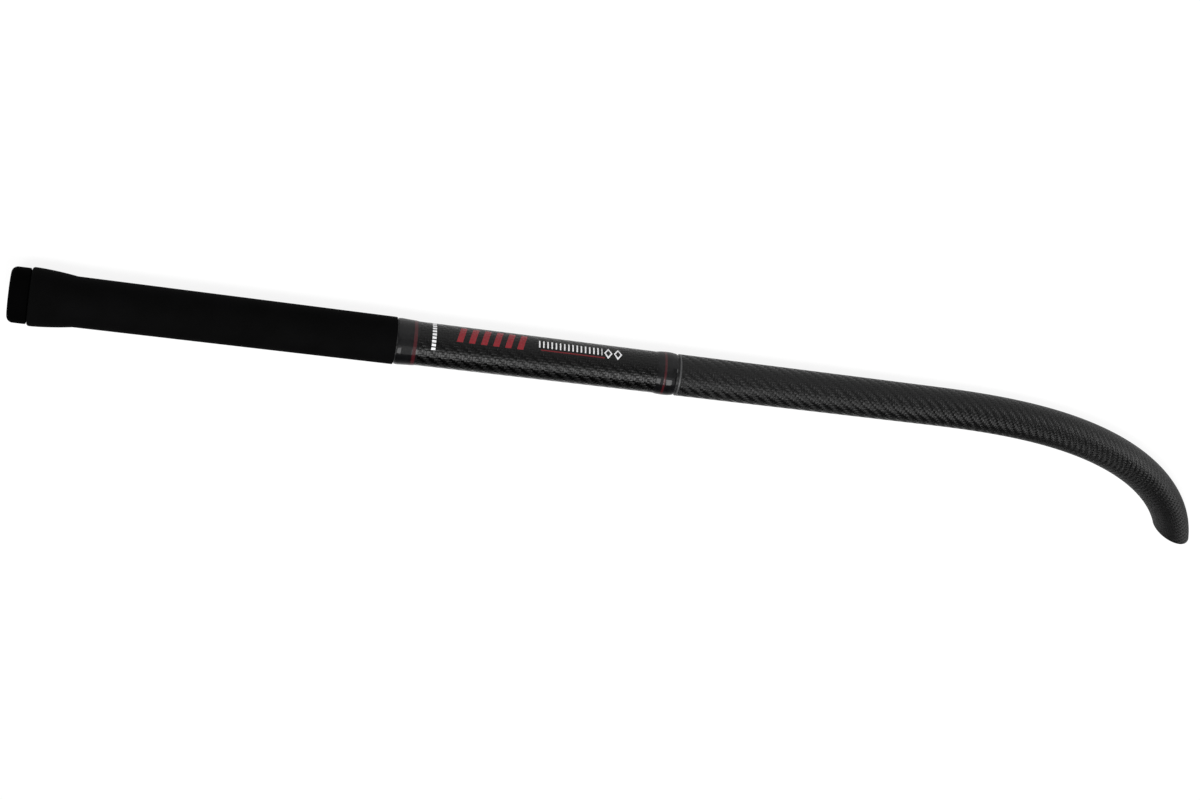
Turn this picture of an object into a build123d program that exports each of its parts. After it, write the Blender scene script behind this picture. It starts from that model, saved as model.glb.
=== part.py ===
"""Bait throwing stick: a tapered woven-carbon tube with a curved, slash-cut mouth.

Frame: +X runs along the straight tube from the butt to the mouth, and the origin is the centre
of the butt cap's end face. The stick lies flat: the bend stays in the XY plane and turns
towards -Y, and +Z is up. All sizes are in millimetres.
"""

import os
from math import cos, degrees, radians, sin

from build123d import *

os.makedirs("parts", exist_ok=True)

# ---- stations along the straight tube, measured from the butt end face ----
CAP_FRONT = 13.7  # the cap's front face, at the seam
FLANGE_BACK = 13.8  # the bush's flange, which the cap seats on
GRIP_BACK = 14.05
TUBE_BACK = 15.0
GRIP_FRONT = 268.9
REAR_BAND = (269.8, 284.0)
REAR_TRIM = (280.8, 283.2)
FRONT_BAND = (456.5, 469.9)
FRONT_TRIM = (460.5, 462.1)
HANDLE_FRONT = 470.1  # the end of the handle tube
TIP_BACK = 471.7  # the shoulder of the tip section
BEND_START = 659.9

# ---- tubes: outer diameter at a station, and how much it falls for each mm along the tube ----
HANDLE_OD_AT = 285.5
HANDLE_OD = 30.75
HANDLE_TAPER = 0.0089
TIP_OD = 29.72
TIP_TAPER = 0.0078
WALL = 1.25
LACQUER = 0.15
SLEEVE = 1.35

# ---- the butt flare of the grip ----
FLARE_CORNER = 17.2  # where the flare is widest
FLARE_R = 20.62
FLARE_MID = (31.4, 19.62)
FLARE_END = 45.5
FLARE_LIP_R = 17.25
FLARE_ROUND = 2.0

# ---- butt cap, its plug and the bush that takes it ----
CAP_R = 19.6
CAP_END_ROUND = 4.6
CAP_SEAM_ROUND = 1.0
BUSH_R = 13.5
BUSH_FRONT = 46.0
BUSH_FLANGE_R = 16.9
PLUG_R = 13.35
PLUG_FRONT = 40.0
PLUG_POCKET_R = 9.0
ANCHOR = (6.0, 9.0)
ANCHOR_R = 15.5
SEAL_AT = (20.0, 30.0)
SEAL_WIDTH = 2.2
SEAL_R = (11.6, 13.45)
PAD_R = 12.6
PAD_FRONT = 51.0

# ---- whippings ----
THREAD = 0.25
TRIM_THREAD = 0.2
REAR_COAT_R = (16.45, 16.05)
FRONT_CROWN = (462.8, 15.44)

# ---- plug-in joint between the handle and the tip section ----
SOCKET_R = 13.55
SOCKET_BACK = 420.4
SPIGOT_R = 13.5
SPIGOT_BACK = 422.0
SPIGOT_FRONT = 512.0
SPIGOT_BORE_R = 12.45
SPIGOT_LEAD = (4.0, 0.8)  # length and depth of the lead-in at each end
RING_FRONT = 472.9
RING_R = 14.92

# ---- bend: curvature grows evenly along the centreline ----
BEND_K0 = 0.92e-3  # 1/mm at the start of the bend
BEND_K1 = 29.4e-6  # 1/mm more for each mm along the bend
BEND_LENGTH = 285.0  # past the mouth, to be cut
BEND_SECTIONS = 14
CUT_AT = 258.5  # where the cut crosses the centreline
CUT_LEAN = 38.8  # degrees from square, the outer wall longer
RIM = 0.8


def handle_r(x):
    """Outer radius of the handle tube."""
    return (HANDLE_OD - HANDLE_TAPER * (x - HANDLE_OD_AT)) / 2


def handle_bore_r(x):
    return handle_r(x) - WALL


def tip_r(x):
    """Outer radius of the tip section, with x counted on along the bend."""
    return (TIP_OD - TIP_TAPER * (x - TIP_BACK)) / 2


def tip_bore_r(x):
    return tip_r(x) - WALL


def profile(*points):
    """The face with these (x, radius) corners, to be turned about the tube's axis."""
    with BuildSketch() as face:
        with BuildLine():
            Polyline(*points, close=True)
        make_face()
    return face.sketch


def save(piece, node):
    """Labels a finished piece and writes its STEP file."""
    piece.part.label = node
    export_step(piece.part, f"parts/{node}.step")


def bend_angle(t):
    """Turn of the centreline at t mm along the bend, in radians."""
    return BEND_K0 * t + BEND_K1 * t * t / 2


def bend_point(t, steps=64):
    """The centreline at t mm along the bend, by the midpoint rule."""
    step = t / steps
    mids = [bend_angle((i + 0.5) * step) for i in range(steps)]
    return BEND_START + step * sum(map(cos, mids)), -step * sum(map(sin, mids))


def bend_plane(t):
    """The plane square to the centreline at t mm along the bend, its x axis up."""
    x, y = bend_point(t)
    a = bend_angle(t)
    return Plane(origin=(x, y, 0), x_dir=(0, 0, 1), z_dir=(cos(a), -sin(a), 0))


def cut_plane(beyond):
    """The mouth's cut, moved outwards by a distance, leaning so that the outer wall is longer."""
    x, y = bend_point(CUT_AT)
    a = bend_angle(CUT_AT) + radians(CUT_LEAN)
    way = Vector(cos(a), -sin(a), 0)
    return Plane(origin=Vector(x, y, 0) + way * beyond, x_dir=(0, 0, 1), z_dir=way)


def bend_sections(radius_at):
    """Circles square to the bend's centreline, from its start to past the mouth."""
    circles = []
    for i in range(BEND_SECTIONS):
        t = BEND_LENGTH * i / (BEND_SECTIONS - 1)
        with BuildSketch(bend_plane(t)) as ring:
            Circle(radius_at(BEND_START + t))
        circles.append(ring.sketch)
    return circles


# ---- handle section: one tube, in two nodes that meet at the front of the grip ----
with BuildPart() as grip_tube:
    section = profile(
        (TUBE_BACK, handle_bore_r(TUBE_BACK)),
        (TUBE_BACK, handle_r(TUBE_BACK)),
        (GRIP_FRONT, handle_r(GRIP_FRONT)),
        (GRIP_FRONT, handle_bore_r(GRIP_FRONT)),
    )
    revolve(section, axis=Axis.X)
save(grip_tube, "grip_tube")

with BuildPart() as handle_tube:
    section = profile(
        (GRIP_FRONT, handle_bore_r(GRIP_FRONT)),
        (GRIP_FRONT, handle_r(GRIP_FRONT)),
        (HANDLE_FRONT, handle_r(HANDLE_FRONT)),
        (HANDLE_FRONT, SOCKET_R),
        (SOCKET_BACK, SOCKET_R),
        (SOCKET_BACK, handle_bore_r(SOCKET_BACK)),
    )
    revolve(section, axis=Axis.X)
save(handle_tube, "handle_tube")

with BuildPart() as cap_bush:
    section = profile(
        (FLANGE_BACK, BUSH_R),
        (FLANGE_BACK, BUSH_FLANGE_R),
        (TUBE_BACK, BUSH_FLANGE_R),
        (TUBE_BACK, handle_bore_r(TUBE_BACK)),
        (BUSH_FRONT, handle_bore_r(BUSH_FRONT)),
        (BUSH_FRONT, BUSH_R),
    )
    revolve(section, axis=Axis.X)
save(cap_bush, "cap_bush")

FLARE_END_R = handle_r(FLARE_END) + SLEEVE
FORMER_BACK = GRIP_BACK + SLEEVE
FORMER_CORNER_R = FLARE_R - SLEEVE

with BuildPart() as butt_former:
    with BuildSketch():
        with BuildLine():
            Line((FORMER_BACK, handle_r(FORMER_BACK)), (FORMER_BACK, FORMER_CORNER_R))
            Line((FORMER_BACK, FORMER_CORNER_R), (FLARE_CORNER, FORMER_CORNER_R))
            ThreePointArc(
                (FLARE_CORNER, FORMER_CORNER_R),
                (FLARE_MID[0], FLARE_MID[1] - SLEEVE),
                (FLARE_END, handle_r(FLARE_END)),
            )
            Line((FLARE_END, handle_r(FLARE_END)), (FORMER_BACK, handle_r(FORMER_BACK)))
        make_face()
    revolve(axis=Axis.X)
save(butt_former, "butt_former")

with BuildPart() as grip_sleeve:
    with BuildSketch():
        with BuildLine():
            Polyline(
                (FORMER_BACK, FLARE_LIP_R),
                (GRIP_BACK, FLARE_LIP_R),
                (GRIP_BACK, FLARE_R),
                (FLARE_CORNER, FLARE_R),
            )
            ThreePointArc((FLARE_CORNER, FLARE_R), FLARE_MID, (FLARE_END, FLARE_END_R))
            Polyline(
                (FLARE_END, FLARE_END_R),
                (GRIP_FRONT, handle_r(GRIP_FRONT) + SLEEVE),
                (GRIP_FRONT, handle_r(GRIP_FRONT)),
                (FLARE_END, handle_r(FLARE_END)),
            )
            ThreePointArc(
                (FLARE_END, handle_r(FLARE_END)),
                (FLARE_MID[0], FLARE_MID[1] - SLEEVE),
                (FLARE_CORNER, FORMER_CORNER_R),
            )
            Polyline(
                (FLARE_CORNER, FORMER_CORNER_R),
                (FORMER_BACK, FORMER_CORNER_R),
                (FORMER_BACK, FLARE_LIP_R),
            )
        make_face()
    revolve(axis=Axis.X)
    rims = grip_sleeve.edges().filter_by(GeomType.CIRCLE)
    fillet(rims.group_by(Axis.X)[0].sort_by(SortBy.RADIUS)[-1], FLARE_ROUND)
    rims = grip_sleeve.edges().filter_by(GeomType.CIRCLE)
    fillet(rims.group_by(Axis.X)[-1].sort_by(SortBy.RADIUS)[-1], 0.6)
save(grip_sleeve, "grip_sleeve")

# The rear winding, its trim band and the coat that fairs them into the tube.
with BuildPart() as rear_whipping:
    section = profile(
        (REAR_BAND[0], handle_r(REAR_BAND[0])),
        (REAR_BAND[0], handle_r(REAR_BAND[0]) + THREAD),
        (REAR_TRIM[0], handle_r(REAR_TRIM[0]) + THREAD),
        (REAR_TRIM[0], handle_r(REAR_TRIM[0])),
    )
    revolve(section, axis=Axis.X)
save(rear_whipping, "rear_whipping")

with BuildPart() as rear_trim_band:
    section = profile(
        (REAR_TRIM[0], handle_r(REAR_TRIM[0])),
        (REAR_TRIM[0], handle_r(REAR_TRIM[0]) + TRIM_THREAD),
        (REAR_TRIM[1], handle_r(REAR_TRIM[1]) + TRIM_THREAD),
        (REAR_TRIM[1], handle_r(REAR_TRIM[1])),
    )
    revolve(section, axis=Axis.X)
save(rear_trim_band, "rear_trim_band")

with BuildPart() as rear_coat:
    with BuildSketch():
        with BuildLine():
            Polyline(
                (REAR_BAND[0], handle_r(REAR_BAND[0]) + THREAD),
                (REAR_BAND[0], REAR_COAT_R[0] - 0.25),
                (REAR_BAND[0] + 0.35, REAR_COAT_R[0]),
                (REAR_TRIM[0] - 0.4, REAR_COAT_R[1]),
                (REAR_TRIM[0] + 0.4, handle_r(REAR_TRIM[0]) + 0.45),
                (REAR_TRIM[1], handle_r(REAR_TRIM[1]) + 0.34),
                (REAR_BAND[1], handle_r(REAR_BAND[1]) + LACQUER),
                (REAR_BAND[1], handle_r(REAR_BAND[1])),
                (REAR_TRIM[1], handle_r(REAR_TRIM[1])),
                (REAR_TRIM[1], handle_r(REAR_TRIM[1]) + TRIM_THREAD),
                (REAR_TRIM[0], handle_r(REAR_TRIM[0]) + TRIM_THREAD),
                (REAR_TRIM[0], handle_r(REAR_TRIM[0]) + THREAD),
                close=True,
            )
        make_face()
    revolve(axis=Axis.X)
save(rear_coat, "rear_coat")

with BuildPart() as clear_lacquer:
    section = profile(
        (REAR_BAND[1], handle_r(REAR_BAND[1])),
        (REAR_BAND[1], handle_r(REAR_BAND[1]) + LACQUER),
        (FRONT_BAND[0], handle_r(FRONT_BAND[0]) + LACQUER),
        (FRONT_BAND[0], handle_r(FRONT_BAND[0])),
    )
    revolve(section, axis=Axis.X)
save(clear_lacquer, "clear_lacquer")

# The front winding reinforces the mouth of the socket. Its trim band is wound over it.
FRONT_THREAD = (FRONT_BAND[0] + 2.0, FRONT_BAND[1] - 1.2)

with BuildPart() as front_whipping:
    section = profile(
        (FRONT_THREAD[0], handle_r(FRONT_THREAD[0])),
        (FRONT_THREAD[0], handle_r(FRONT_THREAD[0]) + THREAD),
        (FRONT_THREAD[1], handle_r(FRONT_THREAD[1]) + THREAD),
        (FRONT_THREAD[1], handle_r(FRONT_THREAD[1])),
    )
    revolve(section, axis=Axis.X)
save(front_whipping, "front_whipping")

with BuildPart() as front_trim_band:
    section = profile(
        (FRONT_TRIM[0], handle_r(FRONT_TRIM[0]) + THREAD),
        (FRONT_TRIM[0], handle_r(FRONT_TRIM[0]) + THREAD + TRIM_THREAD),
        (FRONT_TRIM[1], handle_r(FRONT_TRIM[1]) + THREAD + TRIM_THREAD),
        (FRONT_TRIM[1], handle_r(FRONT_TRIM[1]) + THREAD),
    )
    revolve(section, axis=Axis.X)
save(front_trim_band, "front_trim_band")

with BuildPart() as front_coat:
    back, front = FRONT_BAND
    with BuildSketch():
        with BuildLine():
            back_lip = (back, handle_r(back) + LACQUER)
            front_lip = (front - 0.4, handle_r(front) + 0.25)
            Spline(back_lip, FRONT_CROWN, tangents=((1, 0.12), (1, 0)))
            Spline(FRONT_CROWN, front_lip, tangents=((1, 0), (1, -0.6)))
            Polyline(
                front_lip,
                (front, handle_r(front) + 0.02),
                (front, handle_r(front)),
                (FRONT_THREAD[1], handle_r(FRONT_THREAD[1])),
                (FRONT_THREAD[1], handle_r(FRONT_THREAD[1]) + THREAD),
                (FRONT_TRIM[1], handle_r(FRONT_TRIM[1]) + THREAD),
                (FRONT_TRIM[1], handle_r(FRONT_TRIM[1]) + THREAD + TRIM_THREAD),
                (FRONT_TRIM[0], handle_r(FRONT_TRIM[0]) + THREAD + TRIM_THREAD),
                (FRONT_TRIM[0], handle_r(FRONT_TRIM[0]) + THREAD),
                (FRONT_THREAD[0], handle_r(FRONT_THREAD[0]) + THREAD),
                (FRONT_THREAD[0], handle_r(FRONT_THREAD[0])),
                (back, handle_r(back)),
                back_lip,
            )
        make_face()
    revolve(axis=Axis.X)
save(front_coat, "front_coat")

# ---- butt cap: a soft shell moulded round a stiff plug, with two seals and a bait pad ----
with BuildPart() as cap_shell:
    section = profile(
        (0, 0),
        (0, CAP_R),
        (CAP_FRONT, CAP_R),
        (CAP_FRONT, PLUG_R),
        (ANCHOR[1], PLUG_R),
        (ANCHOR[1], ANCHOR_R),
        (ANCHOR[0], ANCHOR_R),
        (ANCHOR[0], 0),
    )
    revolve(section, axis=Axis.X)
    rims = cap_shell.edges().filter_by(GeomType.CIRCLE).filter_by(lambda e: e.radius > CAP_R - 0.01)
    fillet(rims.sort_by(Axis.X)[0], CAP_END_ROUND)
    fillet(rims.sort_by(Axis.X)[-1], CAP_SEAM_ROUND)
save(cap_shell, "cap_shell")

with BuildPart() as cap_plug:
    section = profile(
        (ANCHOR[0], 0),
        (ANCHOR[0], ANCHOR_R),
        (ANCHOR[1], ANCHOR_R),
        (ANCHOR[1], PLUG_R),
        (PLUG_FRONT, PLUG_R),
        (PLUG_FRONT, PLUG_POCKET_R),
        (ANCHOR[1] + 4.0, PLUG_POCKET_R),
        (ANCHOR[1] + 4.0, 0),
    )
    revolve(section, axis=Axis.X)
    for at in SEAL_AT:
        groove = profile(
            (at, SEAL_R[0]),
            (at, PLUG_R + 1),
            (at + SEAL_WIDTH, PLUG_R + 1),
            (at + SEAL_WIDTH, SEAL_R[0]),
        )
        revolve(groove, axis=Axis.X, mode=Mode.SUBTRACT)
save(cap_plug, "cap_plug")

with BuildPart() as cap_seals:
    with BuildSketch() as seal_section:
        for at in SEAL_AT:
            with Locations((at + SEAL_WIDTH / 2, sum(SEAL_R) / 2)):
                Rectangle(SEAL_WIDTH, SEAL_R[1] - SEAL_R[0])
        fillet(seal_section.vertices(), 0.8)
    revolve(axis=Axis.X)
save(cap_seals, "cap_seals")

with BuildPart() as bait_pad:
    with BuildSketch(Plane.YZ.offset(PLUG_FRONT)):
        Circle(PAD_R)
    extrude(amount=PAD_FRONT - PLUG_FRONT)
    fillet(bait_pad.faces().sort_by(Axis.X)[-1].edges(), 1.5)
save(bait_pad, "bait_pad")

# ---- tip section ----
with BuildPart() as spigot:
    lead, depth = SPIGOT_LEAD
    section = profile(
        (SPIGOT_BACK, SPIGOT_BORE_R + depth),
        (SPIGOT_BACK, SPIGOT_R - 0.15),
        (SPIGOT_BACK + 0.6, SPIGOT_R),
        (TIP_BACK, SPIGOT_R),
        (RING_FRONT, SPIGOT_R),
        (RING_FRONT, tip_bore_r(RING_FRONT)),
        (SPIGOT_FRONT, tip_bore_r(SPIGOT_FRONT)),
        (SPIGOT_FRONT, SPIGOT_BORE_R + depth),
        (SPIGOT_FRONT - lead, SPIGOT_BORE_R),
        (SPIGOT_BACK + lead, SPIGOT_BORE_R),
    )
    revolve(section, axis=Axis.X)
save(spigot, "spigot")

with BuildPart() as shoulder_ring:
    with BuildSketch() as ring_section:
        with Locations(((TIP_BACK + RING_FRONT) / 2, (SPIGOT_R + RING_R) / 2)):
            Rectangle(RING_FRONT - TIP_BACK, RING_R - SPIGOT_R)
        fillet(ring_section.vertices().group_by(Axis.Y)[-1], 0.3)
    revolve(axis=Axis.X)
save(shoulder_ring, "shoulder_ring")

with BuildPart() as tip_tube:
    section = profile(
        (RING_FRONT, tip_bore_r(RING_FRONT)),
        (RING_FRONT, tip_r(RING_FRONT)),
        (BEND_START, tip_r(BEND_START)),
        (BEND_START, tip_bore_r(BEND_START)),
    )
    revolve(section, axis=Axis.X)
save(tip_tube, "tip_tube")

with BuildPart() as tip_bend:
    loft(bend_sections(tip_r))
    loft(bend_sections(tip_bore_r), mode=Mode.SUBTRACT)
    split(bisect_by=cut_plane(0), keep=Keep.BOTTOM)
save(tip_bend, "tip_bend")

# The sealed edge of the mouth: the next slice of the same tube, with its corners rounded off.
with BuildPart() as mouth_rim:
    loft(bend_sections(tip_r))
    loft(bend_sections(tip_bore_r), mode=Mode.SUBTRACT)
    split(bisect_by=cut_plane(0), keep=Keep.TOP)
    split(bisect_by=cut_plane(RIM), keep=Keep.BOTTOM)
save(mouth_rim, "mouth_rim")

x, y = bend_point(CUT_AT)
print("mouth centre", round(x, 1), round(y, 1), "turn", round(degrees(bend_angle(CUT_AT)), 1))
whole = Compound(children=[tip_bend.part, mouth_rim.part]).bounding_box()
print("reach", round(whole.max.X, 2), "spread", round(whole.min.Y, 2))
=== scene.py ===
"""Looks of a bait throwing stick: woven tubes, wound bands, a rubber grip and a pull-off butt cap.

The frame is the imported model's: +X along the straight tube from the butt, the bend turning
towards -Y, +Z up. Shapes are in millimetres until place() turns them into metres. Materials,
lamps and the camera are in metres.
"""

from math import cos, pi, radians, sin, tan, tau

import bpy
from mathutils import Matrix, Vector


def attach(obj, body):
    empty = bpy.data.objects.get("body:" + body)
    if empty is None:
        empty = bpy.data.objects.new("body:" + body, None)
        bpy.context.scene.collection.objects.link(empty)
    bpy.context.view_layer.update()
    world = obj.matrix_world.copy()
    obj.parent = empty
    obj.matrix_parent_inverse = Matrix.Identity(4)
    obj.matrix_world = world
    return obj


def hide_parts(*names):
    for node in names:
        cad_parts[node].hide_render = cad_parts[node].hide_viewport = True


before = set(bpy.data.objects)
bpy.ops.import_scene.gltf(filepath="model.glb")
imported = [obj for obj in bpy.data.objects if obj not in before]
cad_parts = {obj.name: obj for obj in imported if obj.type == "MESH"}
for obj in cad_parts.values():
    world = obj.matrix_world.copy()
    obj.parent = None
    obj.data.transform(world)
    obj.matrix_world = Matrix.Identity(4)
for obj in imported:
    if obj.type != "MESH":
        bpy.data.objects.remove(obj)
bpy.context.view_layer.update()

MM = 0.001
SEGMENTS = 192  # sides of everything that is round
SHARP = radians(38)

# ---- stations along the tube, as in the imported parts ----
CAP_FRONT = 13.7
FLANGE_BACK = 13.8
GRIP_BACK = 14.05
TUBE_BACK = 15.0
GRIP_FRONT = 268.9
REAR_BAND = (269.8, 284.0)
REAR_TRIM = (280.8, 283.2)
FRONT_BAND = (456.5, 469.9)
FRONT_TRIM = (460.5, 462.1)
HANDLE_FRONT = 470.1
TIP_BACK = 471.7
BEND_START = 659.9

# ---- tubes ----
HANDLE_OD_AT = 285.5
HANDLE_OD = 30.75
HANDLE_TAPER = 0.0089
TIP_OD = 29.72
TIP_TAPER = 0.0078
WALL = 1.25
LACQUER = 0.15
TUBE_STEPS = 60  # rows of faces along a long tube

# ---- butt cap, its plug and the bush that takes it ----
CAP_R = 19.6
CAP_END_ROUND = 4.6
CAP_SEAM_ROUND = 1.0
ANCHOR = (6.0, 9.0)
ANCHOR_R = 15.5
PLUG_R = 13.35
PLUG_FRONT = 40.0
PLUG_ROUND = 0.8
PLUG_POCKET = (13.0, 9.0)  # its bottom and its radius
SEAL_AT = (20.0, 30.0)
SEAL_WIDTH = 2.2
SEAL_R = (11.6, 13.45)
SEAL_ROUND = 0.8
GROOVE_ROUNDS = (0.2, 0.3)  # at the plug's surface and at the bottom
PAD_R = 12.6
PAD_FRONT = 51.0
PAD_CROWN = (0.4, 6.0)  # how much the pad's front bulges, over what radius
PAD_ROUNDS = (0.8, 1.9, 3.0)
BUSH_R = 13.5
BUSH_FRONT = 46.0
BUSH_FLANGE_R = 16.9
BUSH_ROUNDS = (0.4, 0.3)  # at the bore and at the flange

# ---- grip ----
SLEEVE = 1.35
FLARE_CORNER = 17.2
FLARE_R = 20.62
FLARE_MID = (31.4, 19.62)
FLARE_END = 45.5
FLARE_LIP_R = 17.25
FLARE_ROUND = 2.0
FLARE_LIP_ROUND = 0.3
FLARE_STEPS = 24
GRIP_FRONT_ROUND = 0.6
GRIP_STEPS = 40

# ---- windings: how far in front of the band's back edge, and the radius there ----
REAR_HUMP = ((0.0, 16.25), (0.9, 16.34), (2.6, 16.46), (4.8, 16.32), (7.6, 16.16), (10.5, 15.98))
REAR_TRIM_OVER = (0.60, 0.42)  # over the tube, at the two edges of the red trim
REAR_OVERLAP = 0.6  # how far the coat runs out over the lacquer
FRONT_HUMP = ((1.6, 15.18), (4.0, 15.33), (5.6, 15.44), (8.9, 15.38), (11.1, 15.14), (12.7, 14.86))
FRONT_OVERLAP = 0.8
FRONT_END_OVER = 0.05
FEATHER = 0.01  # the coat's thickness where it runs out
TRIM_RISE = 0.03
ROUNDING = 1e-6  # two stations this close are the same

# ---- plug-in joint ----
SOCKET_R = 13.55
SOCKET_BACK = 420.4
SOCKET_LEAD = 0.3
SPIGOT_R = 13.5
SPIGOT_BACK = 422.0
SPIGOT_FRONT = 512.0
SPIGOT_BORE_R = 12.45
SPIGOT_LEAD = (4.0, 0.8)  # length and depth of the lead-in at each end
SPIGOT_NOSE = (0.6, 0.15)  # the same of the bevel outside the back end
SPIGOT_STEPS = 12
SPIGOT_STEP_LEAN = 0.01  # of the step from the spigot out to the tube's bore
RING_FRONT = 472.9
RING_R = 14.92
RING_ROUND = 0.25

# ---- bend and mouth ----
BEND_K0 = 0.92e-3  # 1/mm at the start of the bend
BEND_K1 = 29.4e-6  # 1/mm more for each mm along the bend
CUT_AT = 258.5
CUT_LEAN = radians(38.8)
CUT_REACH = 40.0  # the cut is this far either side of CUT_AT at most
CUT_HALVINGS = 26
STRAIGHT_STEPS = 30
BEND_STEPS = 90
BEAD = ((-0.5, 1.03), (0.05, 1.05), (0.5, 0.96), (0.76, 0.78))  # past the cut in mm, share of the wall
BEAD_TOP = (0.85, 0.5)
BEAD_STEP = 0.0002  # metres of the UV map from one line of the bead to the next

# ---- the weave of the tip ----
CLOSING_FROM = 590.0  # from here it closes up, by a share CLOSING after CLOSING_OVER
CLOSING_OVER = 240.0
CLOSING = 0.8
CLOSING_POWER = 1.5
WORN = (820.0, 890.0)  # rougher from the first to the second


def handle_r(x):
    """Outer radius of the handle tube."""
    return (HANDLE_OD - HANDLE_TAPER * (x - HANDLE_OD_AT)) / 2


def handle_bore_r(x):
    return handle_r(x) - WALL


def tip_r(x):
    """Outer radius of the tip section, with x counted on along the bend."""
    return (TIP_OD - TIP_TAPER * (x - TIP_BACK)) / 2


def tip_bore_r(x):
    return tip_r(x) - WALL


# ---------------------------------------------------------------- centreline and mesh code


def heading(x):
    """Turn of the centreline towards -Y at station x."""
    t = max(0.0, x - BEND_START)
    return BEND_K0 * t + BEND_K1 * t * t / 2


def centre(x, steps=24):
    """Point of the centreline at station x, counted on along the bend."""
    if x <= BEND_START:
        return x, 0.0
    step = (x - BEND_START) / steps
    mids = [heading(BEND_START + (i + 0.5) * step) for i in range(steps)]
    return BEND_START + step * sum(map(cos, mids)), -step * sum(map(sin, mids))


def place(x, r, angle):
    """Metres: radius r, at an angle from +Y towards +Z, square to the centreline at x."""
    cx, cy = centre(x)
    a = heading(x)
    side = r * cos(angle)
    return Vector((cx + side * sin(a), cy + side * cos(a), r * sin(angle))) * MM


def soften(corners, steps=6):
    """Profile points from (x, r) or (x, r, radius) corners, each radius rounded by an arc."""
    points = []
    for i, corner in enumerate(corners):
        here = Vector(corner[:2])
        radius = corner[2] if len(corner) > 2 else 0
        if not radius:
            points.append(tuple(here))
            continue
        to_last = (Vector(corners[i - 1][:2]) - here).normalized()
        to_next = (Vector(corners[(i + 1) % len(corners)][:2]) - here).normalized()
        half = to_last.angle(to_next) / 2
        reach = radius / tan(half)
        middle = here + (to_last + to_next).normalized() * radius / sin(half)
        start = here + to_last * reach - middle
        turn = start.angle_signed(here + to_next * reach - middle)
        for k in range(steps + 1):
            a = -turn * k / steps
            points.append((
                middle.x + start.x * cos(a) - start.y * sin(a),
                middle.y + start.x * sin(a) + start.y * cos(a),
            ))
    return points


def between(a, b, count):
    """count points from a towards b, both (x, r), without the last."""
    return [(a[0] + (b[0] - a[0]) * i / count, a[1] + (b[1] - a[1]) * i / count) for i in range(count)]


def stations(a, b, count):
    """count stations from a towards b, without b."""
    return [a + (b - a) * i / count for i in range(count)]


def curve(points, steps=10):
    """A smooth line through profile points (Catmull-Rom), ends included."""
    ends = [points[0]] + list(points) + [points[-1]]
    line = []
    for corners in zip(ends, ends[1:], ends[2:], ends[3:]):
        for i in range(steps):
            t = i / steps
            line.append(tuple(
                0.5 * (2 * b + (c - a) * t + (2 * a - 5 * b + 4 * c - d) * t * t
                       + (3 * b - a - 3 * c + d) * t ** 3)
                for a, b, c, d in zip(*corners)))
    return line + [points[-1]]


def add_object(name, data):
    """A new object in the scene, from its mesh, lamp or camera."""
    item = bpy.data.objects.new(name, data)
    bpy.context.scene.collection.objects.link(item)
    return item


def skin(name, columns, lengths, poles=False):
    """A closed mesh from columns of points, one column for each angle round the axis.

    lengths are the metres along the profile for the UV map "along", whose other side is the
    turns round the axis. With poles, the first and last points are on the axis.
    """
    count = len(columns[0])
    ends = (0, count - 1) if poles else ()
    verts, index = [], {}
    for i in range(count):
        if i not in ends:
            for j in range(SEGMENTS):
                index[i, j] = len(verts)
                verts.append(columns[j][i])
    for i in ends:
        for j in range(SEGMENTS):
            index[i, j] = len(verts)
        verts.append(columns[0][i])

    faces, uvs = [], []
    for i in range(count - 1 if poles else count):
        n = (i + 1) % count
        near = lengths[i]
        far = lengths[n] if n else near
        for j in range(SEGMENTS):
            ring = [(i, j, near), (i, j + 1, near), (n, j + 1, far), (n, j, far)]
            if i in ends:
                ring.pop(0)
            elif n in ends:
                ring.pop(2)
            faces.append([index[row, side % SEGMENTS] for row, side, _ in ring])
            uvs.extend((side / SEGMENTS, length) for _, side, length in ring)
    mesh = bpy.data.meshes.new(name)
    mesh.from_pydata(verts, [], faces)
    layer = mesh.uv_layers.new(name="along")
    layer.data.foreach_set("uv", [v for uv in uvs for v in uv])
    mesh.polygons.foreach_set("use_smooth", [True] * len(mesh.polygons))
    mesh.set_sharp_from_angle(angle=SHARP)
    mesh.validate()
    mesh.update()
    return add_object(name, mesh)


def all_round(profile_at):
    """Columns of points round the tube, from a function that gives the (x, r) profile at an angle."""
    angles = [tau * j / SEGMENTS for j in range(SEGMENTS)]
    return [[place(x, r, angle) for x, r in profile_at(angle)] for angle in angles]


def path_lengths(points):
    """Metres along a profile, counted from its first point's station."""
    total = points[0][0]
    lengths = [total * MM]
    for a, b in zip(points, points[1:]):
        total += (Vector(b) - Vector(a)).length
        lengths.append(total * MM)
    return lengths


def turned(name, points, poles=False):
    """A piece turned about the tube's axis from its (x, r) profile, given anticlockwise."""
    return skin(name, all_round(lambda angle: points), path_lengths(points), poles)


def join(name, pieces):
    """One piece from several, with the first one's data."""
    first = pieces[0]
    with bpy.context.temp_override(active_object=first, selected_editable_objects=pieces):
        bpy.ops.object.join()
    first.name = first.data.name = name
    return first


def settle(piece, body, slot, material, *nodes):
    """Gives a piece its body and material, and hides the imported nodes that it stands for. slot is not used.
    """
    piece.data.materials.append(material)
    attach(piece, body)
    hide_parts(*nodes)


# ---------------------------------------------------------------- material nodes


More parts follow.
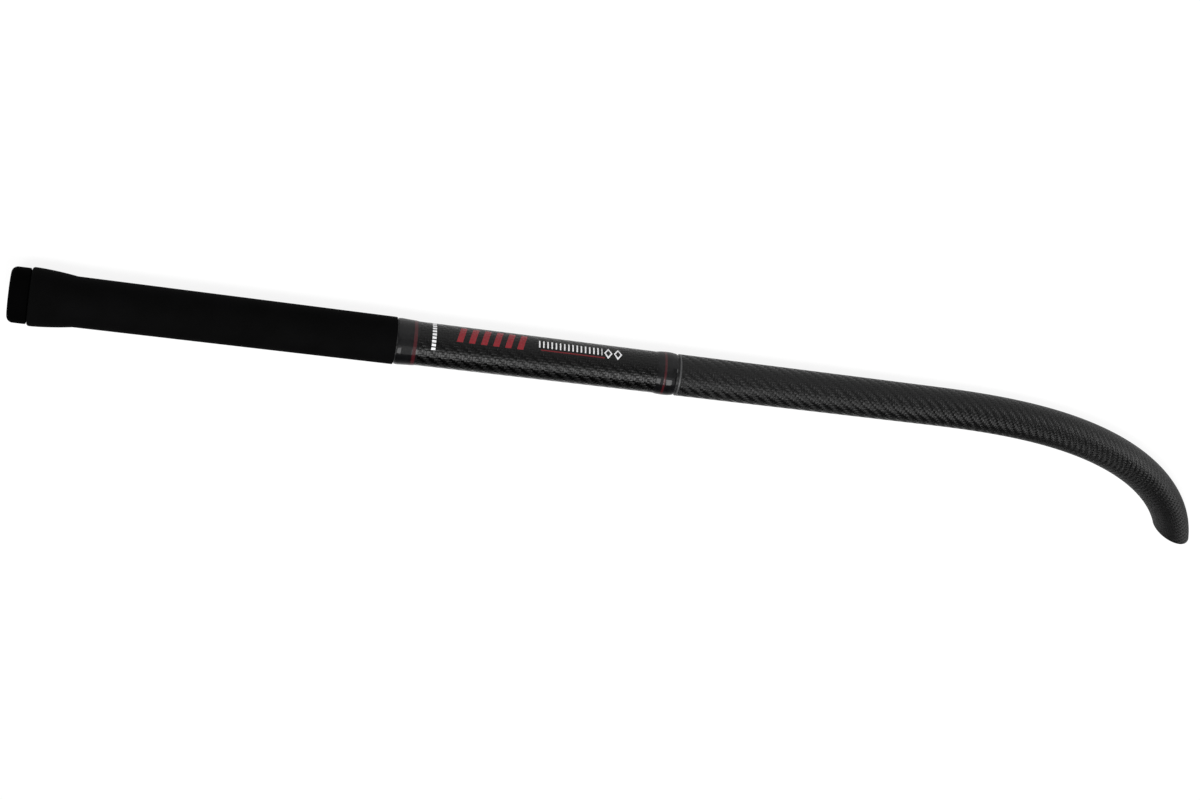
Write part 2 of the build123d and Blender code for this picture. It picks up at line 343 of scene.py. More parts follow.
class Nodes:
    """Short names for the node links of one material or world."""

    def __init__(self, owner, shader="Principled BSDF"):
        owner.use_nodes = True
        self.owner = owner
        self.tree = owner.node_tree
        self.shader = self.tree.nodes[shader]

    def add(self, kind, **settings):
        node = self.tree.nodes.new(kind)
        for key, value in settings.items():
            setattr(node, key, value)
        return node

    def link(self, value, socket):
        if isinstance(value, bpy.types.NodeSocket):
            self.tree.links.new(value, socket)
        else:
            socket.default_value = value

    def math(self, operation, a, b=0.0, c=0.0, clamp=False):
        node = self.add("ShaderNodeMath", operation=operation, use_clamp=clamp)
        for value, socket in zip((a, b, c), node.inputs):
            self.link(value, socket)
        return node.outputs[0]

    def parts(self, vector):
        """The x, y and z of a vector."""
        split = self.add("ShaderNodeSeparateXYZ")
        self.link(vector, split.inputs[0])
        return split.outputs[0], split.outputs[1], split.outputs[2]

    def along(self):
        """(turns round the axis, metres along the profile) from the piece's UV map."""
        uv = self.add("ShaderNodeUVMap", uv_map="along")
        return self.parts(uv.outputs[0])[:2]

    def point(self):
        """The piece's own coordinates."""
        return self.add("ShaderNodeTexCoord").outputs["Object"]

    def noise(self, scale, detail=3.0, rough=0.55, vector=None):
        node = self.add("ShaderNodeTexNoise")
        self.link(vector if vector is not None else self.point(), node.inputs["Vector"])
        node.inputs["Scale"].default_value = scale
        node.inputs["Detail"].default_value = detail
        node.inputs["Roughness"].default_value = rough
        return node.outputs["Fac"]

    def streaks(self, u, v):
        """Noise that is stretched by the scales of its two coordinates, each (value, scale)."""
        node = self.add("ShaderNodeCombineXYZ")
        for (value, scale), socket in zip((u, v), node.inputs):
            self.link(self.math("MULTIPLY", value, scale), socket)
        return self.noise(1.0, detail=2.0, vector=node.outputs[0])

    def mix(self, share, a, b, kind="RGBA"):
        """From a to b by a share: colours, or with kind FLOAT or VECTOR, values or vectors."""
        node = self.add("ShaderNodeMix", data_type=kind)
        self.link(share, node.inputs["Factor"])
        self.link(a, node.inputs["A"])
        self.link(b, node.inputs["B"])
        return node.outputs["Result"]

    def span(self, value, low, high, out_low=0.0, out_high=1.0):
        """A value from low to high, spread to out_low to out_high and held there."""
        node = self.add("ShaderNodeMapRange")
        for key, v in (("Value", value), ("From Min", low), ("From Max", high),
                       ("To Min", out_low), ("To Max", out_high)):
            self.link(v, node.inputs[key])
        return node.outputs["Result"]

    def bump(self, height, distance):
        node = self.add("ShaderNodeBump")
        self.link(height, node.inputs["Height"])
        node.inputs["Distance"].default_value = distance
        return node.outputs[0]

    def finish(self, **values):
        """Sets the shader's sockets, by names with _ for spaces, and returns the owner."""
        for key, value in values.items():
            self.link(value, self.shader.inputs[key.replace("_", " ")])
        return self.owner


def new_material(name):
    return Nodes(bpy.data.materials.new(name))


def grey(level, blue=0.0):
    return (level, level, level * (1 + blue), 1.0)


def shade(colour, factor):
    """The same colour, lighter or darker."""
    return tuple(min(1, c * factor) for c in colour[:3]) + (1.0,)


# ---- weave ----
TOWS_ROUND = 44  # a multiple of four, so that the weave closes round the tube
WANDER = 0.20  # the width over which the tows stray, in tows
FIBRE_SCALES = (9.0, 0.7)  # streaks across a tow and along it, for each tow
CROWN_POWER = 0.45  # under 1 makes the tows flat with narrow gaps
SWELL = 0.55  # how much of a tow's height comes from going over and under
COOL = 0.03  # a little blue in the carbon's grey
FIBRE_RELIEF = 0.12  # of a tow's height
LACQUER_RELIEF = 0.35  # how much of the weave's relief shows in the lacquer's surface
LACQUER_ROUGHNESS = 0.10
STRETCH = 0.90  # how far the fibres spread the highlight


def twill(n, tow):
    """A 2 by 2 twill of flat tows, tow metres wide along the tube.

    Returns the height, the mask of tows that run along the tube, and fibre streaks.
    """
    turn, length = n.along()
    drift = n.math("MULTIPLY", n.math("SUBTRACT", n.noise(55.0, detail=2.0), 0.5), WANDER)
    a = n.math("ADD", n.math("MULTIPLY", turn, float(TOWS_ROUND)), drift)
    b = n.math("ADD", n.math("MULTIPLY", length, 1 / tow), drift)
    cell = n.math("SUBTRACT", n.math("FLOOR", a), n.math("FLOOR", b))
    step = n.math("FLOORED_MODULO", cell, 4.0)
    lengthwise = n.math("LESS_THAN", step, 1.5)
    fa = n.math("FRACT", a)
    fb = n.math("FRACT", b)
    # A tow stays on top for two cells. A lengthwise one runs down in step as b grows.
    run_length = n.math("DIVIDE", n.math("ADD", n.math("SUBTRACT", 1.0, step), fb), 2.0)
    run_round = n.math("DIVIDE", n.math("ADD", n.math("SUBTRACT", step, 2.0), fa), 2.0)
    across = n.mix(lengthwise, fb, fa, "FLOAT")
    run = n.mix(lengthwise, run_round, run_length, "FLOAT")
    crown = n.math("POWER", n.math("SINE", n.math("MULTIPLY", across, pi)), CROWN_POWER)
    swell = n.math("SINE", n.math("MULTIPLY", run, pi))
    height = n.math("MULTIPLY", crown, n.math("ADD", n.math("MULTIPLY", swell, SWELL), 1 - SWELL))
    fine, coarse = FIBRE_SCALES
    fibres_along = n.streaks((a, fine), (b, coarse))
    fibres_round = n.streaks((a, coarse), (b, fine))
    return height, lengthwise, n.mix(lengthwise, fibres_round, fibres_along, "FLOAT")


def fibre_tangent(n, lengthwise):
    """The way across the fibres that lie on top: the highlight spreads that way."""
    round_way = n.add("ShaderNodeTangent", direction_type="UV_MAP", uv_map="along").outputs[0]
    cross = n.add("ShaderNodeVectorMath", operation="CROSS_PRODUCT")
    n.link(n.add("ShaderNodeNewGeometry").outputs["Normal"], cross.inputs[0])
    n.link(round_way, cross.inputs[1])
    return n.mix(lengthwise, cross.outputs[0], round_way, "VECTOR")


# ---- printed motif: millimetres along the tube, and round it from the +Y side towards +Z ----
PRINT_R = 15.2
INK_RED = (0.20, 0.012, 0.018, 1.0)
INK_WHITE = (0.75, 0.75, 0.76, 1.0)
DASHES_X = (293.6, 296.5)
DASHES_ARC = (-15.6, 15.6)
DASH_PITCH = 2.6
DASH_WIDTH = 1.75
BARS_X = (312.5, 359.9)
BARS_ARC = (-6.6, 7.0)
BAR_PITCH = 8.6
BAR_WIDTH = 4.4
BAR_LEAN = 0.24
TICKS_X = (369.3, 414.9)
TICKS_ARC = (-2.6, 3.6)
TICK_PITCH = 3.0
TICK_WIDTH = 1.0
RULE_X = (370.8, 416.8)
RULE_ARC = (5.0, 5.9)
RULE_INK = 0.6
LOZENGES_AT = (419.2, 426.2)
LOZENGE_ARC = 1.4
LOZENGE_HALF = (3.0, 4.6)
LOZENGE_HOLLOW = 0.62


def printed(n, colour):
    """A plain printed motif: a row of dashes round the tube, leaning bars, a scale of ticks
    over a fine line, and two hollow lozenges. It says nothing."""
    turn, length = n.along()
    x = n.math("DIVIDE", length, MM)
    half_turn = n.math("SUBTRACT", n.math("FRACT", n.math("ADD", turn, 0.5)), 0.5)
    arc = n.math("MULTIPLY", half_turn, tau * PRINT_R)

    def inside(value, low, high):
        return n.math("COMPARE", value, (low + high) / 2, (high - low) / 2)

    def all_of(*masks):
        result = masks[0]
        for mask in masks[1:]:
            result = n.math("MULTIPLY", result, mask)
        return result

    def repeats(value, start, pitch, width):
        turns = n.math("DIVIDE", n.math("SUBTRACT", value, start), pitch)
        return n.math("LESS_THAN", n.math("FRACT", turns), width / pitch)

    def lozenge(middle):
        ahead = n.math("DIVIDE", n.math("ABSOLUTE", n.math("SUBTRACT", x, middle)), LOZENGE_HALF[0])
        aside = n.math("DIVIDE", n.math("ABSOLUTE", n.math("SUBTRACT", arc, LOZENGE_ARC)), LOZENGE_HALF[1])
        return inside(n.math("ADD", ahead, aside), LOZENGE_HOLLOW, 1.0)

    dashes = all_of(inside(x, *DASHES_X), inside(arc, *DASHES_ARC),
                    repeats(arc, DASHES_ARC[0], DASH_PITCH, DASH_WIDTH))
    leaned = n.math("ADD", x, n.math("MULTIPLY", arc, BAR_LEAN))
    bars = all_of(inside(leaned, *BARS_X), inside(arc, *BARS_ARC),
                  repeats(leaned, BARS_X[0], BAR_PITCH, BAR_WIDTH))
    ticks = all_of(inside(x, *TICKS_X), inside(arc, *TICKS_ARC),
                   repeats(x, TICKS_X[0], TICK_PITCH, TICK_WIDTH))
    rule = all_of(inside(x, *RULE_X), inside(arc, *RULE_ARC))
    white = n.math("ADD", dashes, ticks)
    for middle in LOZENGES_AT:
        white = n.math("ADD", white, lozenge(middle), clamp=True)
    red = n.math("ADD", bars, n.math("MULTIPLY", rule, RULE_INK), clamp=True)
    return n.mix(white, n.mix(red, colour, INK_RED), INK_WHITE)


def woven_length(x):
    """Metres of weave up to station x: it is pushed closer together towards the mouth."""
    beyond = max(0.0, x - CLOSING_FROM) / CLOSING_OVER
    power = CLOSING_POWER + 1
    return (x + CLOSING * CLOSING_OVER * beyond ** power / power) * MM


def woven(name, tow, along, across, roughness, relief, specular, coat=0.0, ink=False, worn=0.0):
    """Woven tows in resin. along and across are the levels of the tows that run along the tube
    and round it, and worn is how much rougher the mouth is."""
    n = new_material(name)
    height, lengthwise, fibres = twill(n, tow)
    tone = n.mix(lengthwise, grey(across, COOL), grey(along, COOL))
    tone = n.mix(n.span(height, 0.0, 0.5, 0.75, 0.0), tone, grey(along * 0.35))
    tone = n.mix(n.span(fibres, 0.35, 0.75, 0.0, 0.45), tone, grey(across * 1.5, COOL))
    mottle = n.span(n.noise(420.0, rough=0.6), 0.3, 0.7, -0.05, 0.05)
    rough = n.math("ADD", roughness, mottle)
    normal = n.bump(n.math("ADD", height, n.math("MULTIPLY", fibres, FIBRE_RELIEF)), relief)
    lacquer = {}
    if worn:
        wear = n.span(n.along()[1], woven_length(WORN[0]), woven_length(WORN[1]), 0.0, worn)
        rough = n.math("ADD", rough, wear)
    if ink:
        tone = printed(n, tone)
    if coat:
        wave = n.math("ADD", height, n.math("MULTIPLY", n.noise(160.0, detail=2.0), 0.8))
        lacquer = {
            "Coat_Normal": n.bump(wave, relief * LACQUER_RELIEF),
            "Coat_Weight": coat,
            "Coat_Roughness": LACQUER_ROUGHNESS,
        }
    return n.finish(
        Base_Color=tone, Roughness=rough, Normal=normal, Tangent=fibre_tangent(n, lengthwise),
        Anisotropic=STRETCH, Specular_IOR_Level=specular, **lacquer)


# ---- plain materials ----
RUBBER_RELIEF = 0.00005
TURNED_RELIEF = 0.00002
CELL_RELIEF = 0.00012
CELL_SCALE = 1600.0
THREAD_RELIEF = 0.25  # of the thread's pitch
COAT_WAVES = 0.00010


def rubber(name, level, grain, roughness, specular):
    """Matt rubber with a fine moulded grain."""
    n = new_material(name)
    fine = n.noise(grain, detail=4.0, rough=0.7)
    cloud = n.span(n.noise(45.0), 0.35, 0.7)
    tone = n.mix(cloud, grey(level), grey(level * 1.5, 0.05))
    tone = n.mix(n.span(fine, 0.45, 0.75, 0.0, 0.6), tone, grey(level * 2.2))
    rough = n.math("ADD", roughness, n.span(fine, 0.3, 0.7, -0.08, 0.08))
    return n.finish(
        Base_Color=tone, Roughness=rough, Normal=n.bump(fine, RUBBER_RELIEF), Specular_IOR_Level=specular)


def wound(name, colour, pitch, coat, specular):
    """Thread wound round the tube in close turns, under a smooth coat."""
    n = new_material(name)
    turn, length = n.along()
    turns = n.math("ADD", n.math("DIVIDE", length, pitch), turn)
    wander = n.math("MULTIPLY", n.noise(300.0, detail=2.0), 0.35)
    thread = n.math("FRACT", n.math("ADD", turns, wander))
    crown = n.math("SINE", n.math("MULTIPLY", thread, pi))
    strand = n.streaks((turn, 240.0), (length, 4 / pitch))
    tone = n.mix(n.span(crown, 0.0, 0.7), shade(colour, 0.3), colour)
    tone = n.mix(n.span(strand, 0.4, 0.7, 0.0, 0.4), tone, shade(colour, 1.6))
    return n.finish(
        Base_Color=tone, Roughness=0.45, Normal=n.bump(crown, pitch * THREAD_RELIEF),
        Specular_IOR_Level=specular, Coat_Weight=coat, Coat_Roughness=0.05,
        Coat_Normal=n.bump(n.noise(120.0, detail=2.0), COAT_WAVES))


def turned_plastic(name, colour, roughness, pitch, specular=0.4):
    """A turned or moulded surface with fine tool rings and a little mottle."""
    n = new_material(name)
    turn, length = n.along()
    rings = n.streaks((turn, 3.0), (length, 1 / pitch))
    mottle = n.span(n.noise(260.0, detail=4.0, rough=0.6), 0.35, 0.7)
    tone = n.mix(mottle, colour, shade(colour, 1.35))
    tone = n.mix(n.span(rings, 0.3, 0.7, 0.0, 0.35), tone, shade(colour, 0.75))
    rough = n.math("ADD", roughness, n.span(rings, 0.3, 0.7, -0.06, 0.08))
    return n.finish(
        Base_Color=tone, Roughness=rough, Normal=n.bump(rings, TURNED_RELIEF), Specular_IOR_Level=specular)


def cellular(name, level):
    """Closed-cell foam."""
    n = new_material(name)
    cells = n.add("ShaderNodeTexVoronoi", feature="F1")
    n.link(n.point(), cells.inputs["Vector"])
    cells.inputs["Scale"].default_value = CELL_SCALE
    pits = cells.outputs["Distance"]
    tone = n.mix(n.span(pits, 0.1, 0.7), grey(level * 1.4, 0.04), grey(level * 0.7, 0.04))
    return n.finish(
        Base_Color=tone, Roughness=0.92, Specular_IOR_Level=0.12,
        Normal=n.bump(n.math("SUBTRACT", 1.0, pits), CELL_RELIEF))


WEAVE_TIP = woven(
    "woven_matt", tow=0.00205, along=0.0018, across=0.003, roughness=0.41, relief=0.00030,
    specular=0.25, worn=0.18)
WEAVE_GLOSS = woven(
    "woven_under_lacquer", tow=0.00205, along=0.0005, across=0.0009, roughness=0.28, relief=0.00028,
    specular=0.12, coat=0.21, ink=True)
WEAVE_PLAIN = woven(
    "woven_plain", tow=0.00224, along=0.012, across=0.018, roughness=0.45, relief=0.00010, specular=0.25)
GRIP = rubber("grip_rubber", level=0.0015, grain=1500.0, roughness=0.82, specular=0.015)
CAP = rubber("cap_rubber", level=0.0006, grain=1100.0, roughness=0.80, specular=0.006)
SEAL = rubber("seal_rubber", level=0.010, grain=2200.0, roughness=0.45, specular=0.4)
COAT = wound("black_winding", (0.0022, 0.0022, 0.0026, 1.0), pitch=0.00032, coat=0.34, specular=0.08)
RED_BAND = wound("red_winding", (0.042, 0.0025, 0.005, 1.0), pitch=0.00036, coat=0.40, specular=0.12)
NYLON = turned_plastic("moulded_nylon", (0.030, 0.030, 0.032, 1.0), roughness=0.48, pitch=0.0006)
BUSH = turned_plastic(
    "turned_nylon", (0.006, 0.006, 0.007, 1.0), roughness=0.50, pitch=0.0003, specular=0.2)
RING = turned_plastic("grey_ring", (0.045, 0.045, 0.046, 1.0), roughness=0.45, pitch=0.00015)
EDGE = turned_plastic(
    "edge_resin", (0.004, 0.004, 0.004, 1.0), roughness=0.18, pitch=0.0008, specular=0.5)
FOAM = cellular("pad_foam", level=0.045)
FORMER = cellular("former_foam", level=0.060)

# ---------------------------------------------------------------- butt cap

cap = turned("butt_cap", soften([
    (0, 0), (0, CAP_R, CAP_END_ROUND), (CAP_FRONT, CAP_R, CAP_SEAM_ROUND), (CAP_FRONT, PLUG_R),
    (ANCHOR[1], PLUG_R), (ANCHOR[1], ANCHOR_R), (ANCHOR[0], ANCHOR_R), (ANCHOR[0], 0),
], steps=8), poles=True)
settle(cap, "end_cap", "cap", CAP, "cap_shell")

plug = [(ANCHOR[0], 0), (ANCHOR[0], ANCHOR_R), (ANCHOR[1], ANCHOR_R), (ANCHOR[1], PLUG_R)]
for back in SEAL_AT:
    front = back + SEAL_WIDTH
    top, bottom = GROOVE_ROUNDS
    plug += [(back, PLUG_R, top), (back, SEAL_R[0], bottom), (front, SEAL_R[0], bottom), (front, PLUG_R, top)]
plug += [
    (PLUG_FRONT, PLUG_R, PLUG_ROUND), (PLUG_FRONT, PLUG_POCKET[1], GROOVE_ROUNDS[1]),
    (PLUG_POCKET[0], PLUG_POCKET[1]), (PLUG_POCKET[0], 0)]
settle(turned("plug", soften(plug), poles=True), "end_cap", "plug", NYLON, "cap_plug")

seals = []
for back in SEAL_AT:
    front = back + SEAL_WIDTH
    seals.append(turned("seal", soften([
        (back, SEAL_R[0], SEAL_ROUND), (back, SEAL_R[1], SEAL_ROUND),
        (front, SEAL_R[1], SEAL_ROUND), (front, SEAL_R[0], SEAL_ROUND)])))
settle(join("plug_seals", seals), "end_cap", "seal", SEAL, "cap_seals")

pad = turned("bait_foam_pad", soften([
    (PLUG_FRONT, 0), (PLUG_FRONT, PAD_R, PAD_ROUNDS[0]), (PAD_FRONT - PAD_CROWN[0], PAD_R, PAD_ROUNDS[1]),
    (PAD_FRONT, PAD_CROWN[1], PAD_ROUNDS[2]), (PAD_FRONT, 0)]), poles=True)
settle(pad, "end_cap", "foam", FOAM, "bait_pad")

# ---------------------------------------------------------------- grip

FORMER_BACK = GRIP_BACK + SLEEVE


def flare(inset):
    """The flare's outline, as the parabola through its three points, moved in by inset."""
    x0, r0 = FLARE_CORNER, FLARE_R - inset
    x1, r1 = FLARE_MID[0], FLARE_MID[1] - inset
    x2, r2 = FLARE_END, handle_r(FLARE_END) + SLEEVE - inset
    points = []
    for x in stations(x0, x2, FLARE_STEPS) + [x2]:
        share0 = (x - x1) * (x - x2) / ((x0 - x1) * (x0 - x2))
        share1 = (x - x0) * (x - x2) / ((x1 - x0) * (x1 - x2))
        share2 = (x - x0) * (x - x1) / ((x2 - x0) * (x2 - x1))
        points.append((x, r0 * share0 + r1 * share1 + r2 * share2))
    return points


outer = flare(0.0)
inner = flare(SLEEVE)
front_r = handle_r(GRIP_FRONT)
grip = soften([
    (FORMER_BACK, FLARE_LIP_R), (GRIP_BACK, FLARE_LIP_R, FLARE_LIP_ROUND),
    (GRIP_BACK, FLARE_R, FLARE_ROUND), outer[1]])[:-1]
grip += outer[1:-1]
grip += between(outer[-1], (GRIP_FRONT, front_r + SLEEVE), GRIP_STEPS)
grip += soften([
    grip[-1], (GRIP_FRONT, front_r + SLEEVE, GRIP_FRONT_ROUND), (GRIP_FRONT, front_r), inner[-1]])[1:-1]
grip += inner[::-1] + [(FORMER_BACK, FLARE_R - SLEEVE)]
settle(turned("grip_sleeve_rubber", grip), "handle", "grip", GRIP, "grip_sleeve")

# ---------------------------------------------------------------- handle tube and its bands

handle = [(TUBE_BACK, handle_bore_r(TUBE_BACK))]
handle += between((TUBE_BACK, handle_r(TUBE_BACK)), (HANDLE_FRONT, handle_r(HANDLE_FRONT)), TUBE_STEPS)
handle += [
    (HANDLE_FRONT, handle_r(HANDLE_FRONT)), (HANDLE_FRONT, SOCKET_R + SOCKET_LEAD),
    (HANDLE_FRONT - SOCKET_LEAD, SOCKET_R), (SOCKET_BACK, SOCKET_R),
    (SOCKET_BACK, handle_bore_r(SOCKET_BACK))]
settle(turned("handle_weave", handle), "handle", "woven_tube", WEAVE_PLAIN, "grip_tube", "handle_tube")

back, front = REAR_BAND[1], FRONT_BAND[0]
lacquer = between((back, handle_r(back) + LACQUER), (front, handle_r(front) + LACQUER), TUBE_STEPS)
lacquer += [(front, handle_r(front) + LACQUER), (front, handle_r(front)), (back, handle_r(back))]
settle(turned("lacquered_weave", lacquer), "handle", "lacquer", WEAVE_GLOSS, "clear_lacquer")

bush = soften([
    (FLANGE_BACK, BUSH_R, BUSH_ROUNDS[0]), (FLANGE_BACK, BUSH_FLANGE_R, BUSH_ROUNDS[1]),
    (TUBE_BACK, BUSH_FLANGE_R), (TUBE_BACK, handle_bore_r(TUBE_BACK)),
    (BUSH_FRONT, handle_bore_r(BUSH_FRONT)), (BUSH_FRONT, BUSH_R, BUSH_ROUNDS[0])])
settle(turned("turned_bush", bush), "handle", "bush", BUSH, "cap_bush")


def winding(outline, trim, back, red, front):
    """A wound band in three rings: behind its red trim, the trim, and in front of it.

    outline is its outer line. back, red and front each have a piece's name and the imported
    nodes that it stands for.
    """
    line = curve(outline)
    at = [max(i for i, (x, r) in enumerate(line) if x <= edge + ROUNDING) for edge in trim]
    raised = [(x, r + TRIM_RISE) for x, r in line[at[0]:at[1] + 1]]
    for top, slot, material, (name, *nodes) in (
            (line[:at[0] + 1], "coat", COAT, back),
            (raised, "red_thread", RED_BAND, red),
            (line[at[1]:], "coat", COAT, front)):
        first, last = top[0][0], top[-1][0]
        ring = [(first, handle_r(first))] + top + [(last, handle_r(last))]
        settle(turned(name, ring), "handle", slot, material, *nodes)


rear_outline = [(REAR_BAND[0] + ahead, r) for ahead, r in REAR_HUMP]
rear_outline += [(x, handle_r(x) + over) for x, over in zip(REAR_TRIM, REAR_TRIM_OVER)]
rear_outline += [(REAR_BAND[1] + REAR_OVERLAP, handle_r(REAR_BAND[1]) + LACQUER + FEATHER)]
winding(rear_outline, REAR_TRIM, ("rear_winding", "rear_coat", "rear_whipping"),
        ("rear_red_band", "rear_trim_band"), ("rear_coat_lip",))

front_outline = [(FRONT_BAND[0] - FRONT_OVERLAP, handle_r(FRONT_BAND[0]) + LACQUER + FEATHER)]
front_outline += [(FRONT_BAND[0] + ahead, r) for ahead, r in FRONT_HUMP]
front_outline += [(FRONT_BAND[1], handle_r(FRONT_BAND[1]) + FRONT_END_OVER)]
winding(front_outline, FRONT_TRIM, ("front_winding_back", "front_coat"),
        ("front_red_band", "front_trim_band"), ("front_winding", "front_whipping"))

# The former is hidden in the grip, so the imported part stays, with foam on it.
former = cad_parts["butt_former"]
former.data.materials.clear()
former.data.materials.append(FORMER)

# ---------------------------------------------------------------- tip section


def cut_station(r, angle, beyond=0.0):
    """The station where the wall of radius r(x) meets the mouth's cut at this angle.

    beyond moves the cut on, out of the mouth.
    """
    cx, cy = centre(BEND_START + CUT_AT)
    a = heading(BEND_START + CUT_AT) + CUT_LEAN
    way = Vector((cos(a), -sin(a), 0))
    origin = Vector((cx, cy, 0)) + way * beyond
    low = BEND_START + CUT_AT - CUT_REACH
    high = BEND_START + CUT_AT + CUT_REACH
    for _ in range(CUT_HALVINGS):
        middle = (low + high) / 2
        if (place(middle, r(middle), angle) / MM - origin).dot(way) < 0:
            low = middle
        else:
            high = middle
    return (low + high) / 2


def tip_profile(angle):
    """One line of the tip tube: out along the outside to the cut, and back inside."""
    straight = stations(RING_FRONT, BEND_START, STRAIGHT_STEPS)

    def wall(r):
        end = cut_station(r, angle)
        return [(x, r(x)) for x in straight + stations(BEND_START, end, BEND_STEPS) + [end]]

    return wall(tip_r) + wall(tip_bore_r)[::-1]


tip = skin("tip_weave", all_round(tip_profile), [woven_length(x) for x, r in tip_profile(0.0)])
settle(tip, "tip", "matte_woven_tube", WEAVE_TIP, "tip_tube", "tip_bend")

ring = soften([
    (TIP_BACK, SPIGOT_R), (TIP_BACK, RING_R, RING_ROUND), (RING_FRONT, RING_R, RING_ROUND),
    (RING_FRONT, SPIGOT_R)])
settle(turned("end_ring", ring), "tip", "ring", RING, "shoulder_ring")

lead, depth = SPIGOT_LEAD
nose = (SPIGOT_BACK + SPIGOT_NOSE[0], SPIGOT_R)
spigot = [(SPIGOT_BACK, SPIGOT_BORE_R + depth), (SPIGOT_BACK, SPIGOT_R - SPIGOT_NOSE[1])]
spigot += between(nose, (RING_FRONT, SPIGOT_R), SPIGOT_STEPS)
spigot += [
    (RING_FRONT, SPIGOT_R), (RING_FRONT + SPIGOT_STEP_LEAN, tip_bore_r(RING_FRONT)),
    (SPIGOT_FRONT, tip_bore_r(SPIGOT_FRONT)), (SPIGOT_FRONT, SPIGOT_BORE_R + depth),
    (SPIGOT_FRONT - lead, SPIGOT_BORE_R), (SPIGOT_BACK + lead, SPIGOT_BORE_R)]
settle(turned("spigot_weave", spigot), "tip", "woven_tube", WEAVE_PLAIN, "spigot")

bead = [*BEAD, BEAD_TOP] + [(beyond, 1 - share) for beyond, share in BEAD[::-1]]


def bead_profile(angle):
    """A rounded bead over the cut edge, from the outside of the wall to the inside."""
    points = []
    for beyond, share in bead:
        def wall(x, share=share):
            return tip_bore_r(x) + WALL * share
        x = cut_station(wall, angle, beyond)
        points.append((x, wall(x)))
    return points


rim = skin("mouth_edge", all_round(bead_profile), [BEAD_STEP * i for i in range(len(bead))])
settle(rim, "tip", "rim", EDGE, "mouth_rim")

# ---------------------------------------------------------------- floor

# The stick lies on its flare, the start of the bend and the mouth, so the floor leans a little.
FLOOR_DROP = 20.80
FLOOR_SLOPE = (-0.0099, -0.0101)
FLOOR_REACH = 6000.0
FLOOR_GLOW = (0.89, 0.92)  # lit from below as well, as a light table is, and more so past the bend
GLOW_RISES = (600.0, 850.0)
PAPER = (0.12, 0.13)  # its darkest and palest grey


def floor_point(x, y):
    """Metres, from millimetres."""
    return Vector((x, y, -(FLOOR_DROP + FLOOR_SLOPE[0] * x + FLOOR_SLOPE[1] * y))) * MM


def paper():
    n = new_material("pale_floor")
    tone = n.mix(n.noise(6.0, detail=2.0), grey(PAPER[0]), grey(PAPER[1]))
    x = n.parts(n.point())[0]
    glow = n.span(x, GLOW_RISES[0] * MM, GLOW_RISES[1] * MM, *FLOOR_GLOW)
    return n.finish(
        Base_Color=tone, Roughness=0.9, Specular_IOR_Level=0.1,
        Emission_Color=grey(1.0), Emission_Strength=glow)


sheet = bpy.data.meshes.new("floor")
corners = ((-1, -1), (1, -1), (1, 1), (-1, 1))
sheet.from_pydata([floor_point(u * FLOOR_REACH, v * FLOOR_REACH) for u, v in corners], [], [(0, 1, 2, 3)])
sheet.materials.append(paper())
add_object("floor", sheet)

# ---------------------------------------------------------------- light

bpy.context.scene.view_settings.view_transform = "Standard"


def softbox(name, where, aim, size, power):
    """A rectangular lamp at a point, aimed at another, size (wide, high) in metres."""
    data = bpy.data.lights.new(name, "AREA")
    data.shape = "RECTANGLE"
    data.size, data.size_y = size
    data.energy = power
    lamp = add_object(name, data)
    lamp.location = where
    lamp.rotation_euler = (Vector(aim) - Vector(where)).to_track_quat("-Z", "Y").to_euler()
    lamp.visible_camera = False


softbox("overhead", where=(0.25, 0.10, 1.35), aim=(0.25, 0.0, 0.0), size=(2.0, 1.10), power=5.8)
softbox("middle", where=(0.30, 0.00, 1.32), aim=(0.30, 0.0, 0.0), size=(0.35, 0.7), power=5.5)
softbox("bend", where=(0.84, -0.04, 1.30), aim=(0.84, -0.04, 0.0), size=(0.30, 0.7), power=6.0)
softbox("butt_end", where=(-0.95, 0.10, 1.15), aim=(0.30, 0.0, 0.0), size=(0.7, 0.8), power=14.0)
softbox("side", where=(2.40, 0.40, 0.30), aim=(0.85, -0.05, 0.0), size=(2.2, 0.56), power=24.0)

# How bright the room is at each elevation, in degrees: up from the horizon on the camera's
# side, over the top at 90, and down to the horizon behind the stick at 180.
ROOM = (
    (0, 0.85), (20, 0.70), (36, 0.40), (60, 0.40), (72, 0.55), (110, 0.55), (115, 0.01), (150, 0.01),
    (165, 0.10), (180, 0.15))

# The far ends of the room are as bright as ENDS all round. The blend starts where a direction of
# length 1 reaches ENDS_FROM along X, either way.
ENDS = 0.55
ENDS_FROM = 0.72
ENDS_RATE = 5.0
ENDS_SOFTNESS = 0.1

# The upper part of the room past the mouth's end is dimmed, and more so the further a direction
# of length 1 reaches that way. DIM_ABOVE is how far it has to reach up.
DIM_FROM = 0.22
DIM_RATE = 4.0
DIM_ABOVE = 0.16
DIM_MOST = 0.95


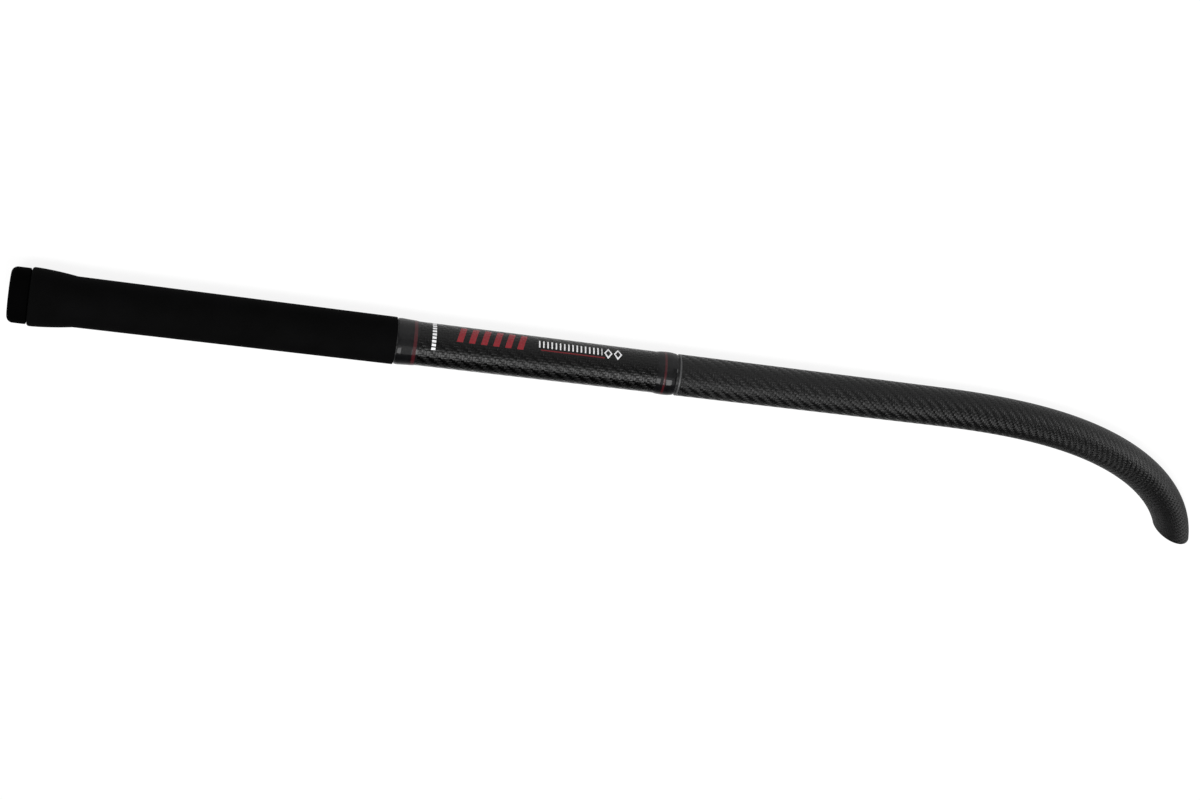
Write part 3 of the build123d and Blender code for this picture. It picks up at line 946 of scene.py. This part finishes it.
def studio():
    """A soft room: bright near the floor, dim above, with a dark gap behind the stick."""
    world = bpy.data.worlds.new("studio")
    bpy.context.scene.world = world
    n = Nodes(world, "Background")
    x, y, z = n.parts(n.add("ShaderNodeTexCoord").outputs["Generated"])

    def past(value, start, rate):
        return n.math("MULTIPLY", n.math("MAXIMUM", n.math("SUBTRACT", value, start), 0.0), rate)

    height = n.math("ARCSINE", z)
    behind = n.math("LESS_THAN", y, 0.0)
    from_behind = n.math("SUBTRACT", pi, n.math("MULTIPLY", height, 2.0))
    elevation = n.math("ADD", height, n.math("MULTIPLY", behind, from_behind))
    ramp = n.add("ShaderNodeValToRGB")
    n.link(n.math("DIVIDE", elevation, pi), ramp.inputs[0])
    stops = ramp.color_ramp.elements
    stops[0].position, stops[0].color = 0.0, grey(ROOM[0][1])
    stops[1].position, stops[1].color = 1.0, grey(ROOM[-1][1])
    for angle, level in ROOM[1:-1]:
        stops.new(angle / 180).color = grey(level)

    sideways = past(n.math("ABSOLUTE", x), ENDS_FROM, ENDS_RATE)
    at_ends = n.math("SMOOTH_MIN", sideways, 1.0, ENDS_SOFTNESS)
    upward = n.math("GREATER_THAN", z, DIM_ABOVE)
    dimmed = n.math("MINIMUM", n.math("MULTIPLY", past(x, DIM_FROM, DIM_RATE), upward), DIM_MOST)
    n.finish(
        Color=n.mix(at_ends, ramp.outputs[0], grey(ENDS)),
        Strength=n.math("SUBTRACT", 1.0, dimmed))


studio()

# ---------------------------------------------------------------- camera

CAMERA_AT = Vector((0.0857, 1.5628, 1.4678))
CAMERA_AIM = Vector((0.4232, -0.0361, 0.0))
CAMERA_ROLL = radians(178.79)
CAMERA_SENSOR = 36.0
CAMERA_LENS = 91.44

camera_data = bpy.data.cameras.new("camera")
camera_data.sensor_width = CAMERA_SENSOR
camera_data.lens = CAMERA_LENS
camera = add_object("camera", camera_data)
turn = (CAMERA_AIM - CAMERA_AT).to_track_quat("-Z", "Y").to_matrix() @ Matrix.Rotation(CAMERA_ROLL, 3, "Z")
camera.matrix_world = Matrix.Translation(CAMERA_AT) @ turn.to_4x4()
bpy.context.scene.camera = camera
